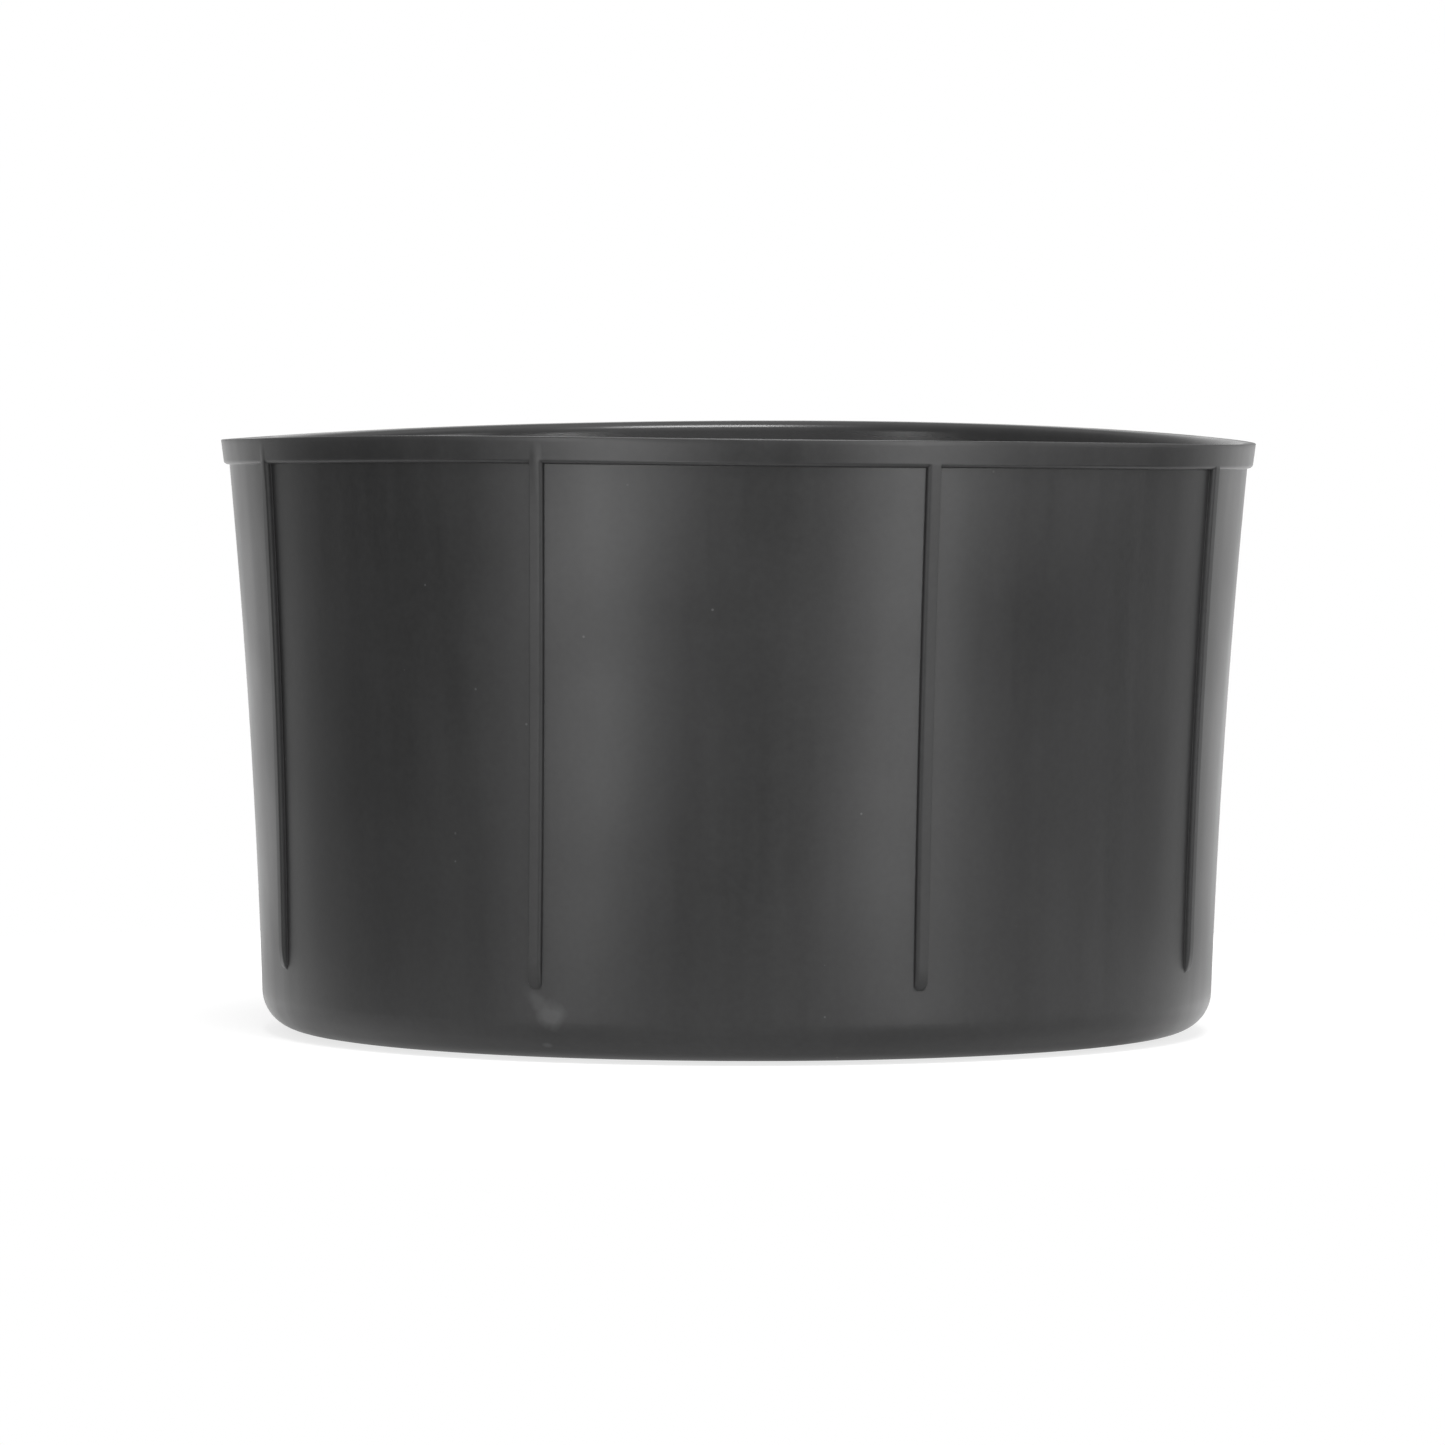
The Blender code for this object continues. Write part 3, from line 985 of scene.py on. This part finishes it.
along = add_node(tree, "ShaderNodeSeparateXYZ")
tree.links.new(place, along.inputs["Vector"])
across_x, across_y = along.outputs["X"], along.outputs["Y"]
mirrored = scaled(tree, reach, *MIRRORED_REACH, *MIRRORED_WHITE)
mirrored = combine(tree, "MULTIPLY", mirrored, scaled(tree, across_x, *RIGHT_SHADE))
behind = scaled(tree, across_y, *BEHIND_REACH, 0, BEHIND_WHITE)
mirrored = combine(tree, "MAXIMUM", mirrored, behind)
beside = scaled(tree, across_y, *BESIDE_REACH, 0, 1)
beside = combine(tree, "MULTIPLY", beside, scaled(tree, across_x, *BESIDE_WHITE))
beside = combine(tree, "MULTIPLY", beside, scaled(tree, reach, *BESIDE_FADE, 1, 0))
mirrored = combine(tree, "MAXIMUM", mirrored, beside)
mirrored = combine(tree, "MULTIPLY", mirrored, path.outputs["Is Glossy Ray"])

white = scaled(tree, path.outputs["Is Camera Ray"], 0, 1, 0, TABLE_SEEN)
white = combine(tree, "MAXIMUM", white, mirrored)
white = combine(tree, "MAXIMUM", white, path.outputs["Is Transmission Ray"])
glow = add_node(tree, "ShaderNodeEmission", {"Color": (1, 1, 1, 1)})
tree.links.new(white, glow.inputs["Strength"])
mix = add_node(tree, "ShaderNodeMixShader")
tree.links.new(white_share, mix.inputs["Fac"])
tree.links.new(lit.outputs["BSDF"], mix.inputs[1])
tree.links.new(glow.outputs["Emission"], mix.inputs[2])
surface = add_node(tree, "ShaderNodeOutputMaterial")
tree.links.new(mix.outputs["Shader"], surface.inputs["Surface"])
table.data.materials.append(table_finish)
print("Table finish has", len(tree.nodes), "nodes")

# %% [markdown]
# ## The studio
#
# The camera sees plain white all round. In the bowl's reflections a white backdrop stands behind it,
# half as bright above the horizon, and the camera's side of the room is dark. That gives the wall its
# deep tone and its bright outer edges. The white ceiling is held back towards the left, the right and
# the back. Diffuse light from the room is even and modest.

# %% World
ROOM_LIGHT = 0.68
DARK_SIDE = 0.04
CEILING_REACH = (-0.20, 0.28)
CEILING_WHITE = 1.5
CEILING_LEFT = (-0.80, 0.15, 0.6, 1.5)
CEILING_RIGHT = (0.30, 0.80, 1.5, 0.75)
CEILING_BACK = (0.20, 0.65, 1.5, 0.6)
BACKDROP_REACH = (0.45, 0.95)
BACKDROP_WHITE = 2.25
BACKDROP_TOP = (-0.08, 0.08)
BACKDROP_FADE = 0.5

world = bpy.data.worlds.new("white_studio")
world.use_nodes = True
bpy.context.scene.world = world
tree = world.node_tree
background = tree.nodes["Background"]
background.inputs["Color"].default_value = (1, 1, 1, 1)
direction = add_node(tree, "ShaderNodeTexCoord").outputs["Generated"]
parts = add_node(tree, "ShaderNodeSeparateXYZ")
tree.links.new(direction, parts.inputs["Vector"])

backdrop = scaled(tree, parts.outputs["Y"], *BACKDROP_REACH, DARK_SIDE, BACKDROP_WHITE)
upper = scaled(tree, parts.outputs["Z"], *BACKDROP_TOP, 1, BACKDROP_FADE)
backdrop = combine(tree, "MULTIPLY", backdrop, upper)
ceiling = scaled(tree, parts.outputs["Z"], *CEILING_REACH, DARK_SIDE, CEILING_WHITE)
for axis, limit in (("X", CEILING_LEFT), ("X", CEILING_RIGHT), ("Y", CEILING_BACK)):
    ceiling = combine(tree, "MINIMUM", ceiling, scaled(tree, parts.outputs[axis], *limit))

path = add_node(tree, "ShaderNodeLightPath")
room = combine(tree, "MAXIMUM", backdrop, ceiling)
mirrored = combine(tree, "MULTIPLY", path.outputs["Is Glossy Ray"], room)
even = scaled(tree, path.outputs["Is Diffuse Ray"], 0, 1, 0, ROOM_LIGHT)
strength = combine(tree, "MAXIMUM", path.outputs["Is Camera Ray"], mirrored)
strength = combine(tree, "MAXIMUM", strength, path.outputs["Is Transmission Ray"])
strength = combine(tree, "MAXIMUM", strength, even)
tree.links.new(strength, background.inputs["Strength"])
print("Studio has", len(tree.nodes), "nodes")

# %% [markdown]
# ## Lamps
#
# Two strip lamps lean in from the left and the right of the camera and draw the two soft highlights
# on the wall. Two small ones below the table top brighten only the upper wall, because the table
# hides them from the lower one. A weak one fills the right side. The key light, high up in front of
# the bowl, lights the table and draws the bright line on the far inner edge of the rim. One large lamp
# would be simpler, but it would spread a single broad sheen over the wall.

# %% Lamps
def soft_lamp(name, azimuth, distance, height, width, length, power, lean=0):
    """An area lamp that faces the axis, its azimuth from the camera and its lean in degrees."""
    angle = math.radians(azimuth)
    spot = Vector((distance * math.sin(angle), -distance * math.cos(angle), height))
    target = Vector((0, 0, min(height, BODY_HEIGHT)))
    bpy.ops.object.light_add(type="AREA", location=spot)
    lamp = bpy.context.object
    lamp.name = name
    lamp.data.shape = "RECTANGLE"
    lamp.data.size = width
    lamp.data.size_y = length
    lamp.data.energy = power
    lamp.rotation_euler = (target - spot).to_track_quat("-Z", "Y").to_euler()
    lamp.rotation_euler.rotate_axis("Z", math.radians(lean))
    lamp.visible_camera = False
    print("Lamp", name, "gives", power, "W")


STRIP_DISTANCE = 1.05
LOW_LAMP = {"distance": 0.96, "height": -0.39, "width": 0.16, "length": 0.16}
LEFT_STRIP = {"distance": STRIP_DISTANCE, "height": -0.05, "width": 0.15, "length": 0.62}
RIGHT_STRIP = {"distance": STRIP_DISTANCE, "height": 0.02, "width": 0.17, "length": 0.45}
RIGHT_FILL = {"distance": 1.0, "height": 0.30, "width": 0.50, "length": 0.50}
KEY = {"distance": 0.52, "height": 1.01, "width": 0.54, "length": 0.30}

soft_lamp("left_strip", azimuth=-34, power=3.4, lean=40, **LEFT_STRIP)
soft_lamp("left_low", azimuth=-16, power=2.4, **LOW_LAMP)
soft_lamp("right_strip", azimuth=38.8, power=3.5, lean=-40, **RIGHT_STRIP)
soft_lamp("right_low", azimuth=52, power=2.3, **LOW_LAMP)
soft_lamp("right_fill", azimuth=85, power=2.3, **RIGHT_FILL)
soft_lamp("key", azimuth=11, power=9.4, **KEY)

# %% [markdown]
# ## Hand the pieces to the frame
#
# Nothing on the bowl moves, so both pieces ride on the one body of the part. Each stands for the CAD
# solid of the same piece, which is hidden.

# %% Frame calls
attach(bowl, "root")
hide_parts("bowl_body")
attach(grip_ring, "root")
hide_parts("non_slip_ring")

bpy.context.scene.view_settings.view_transform = "Standard"
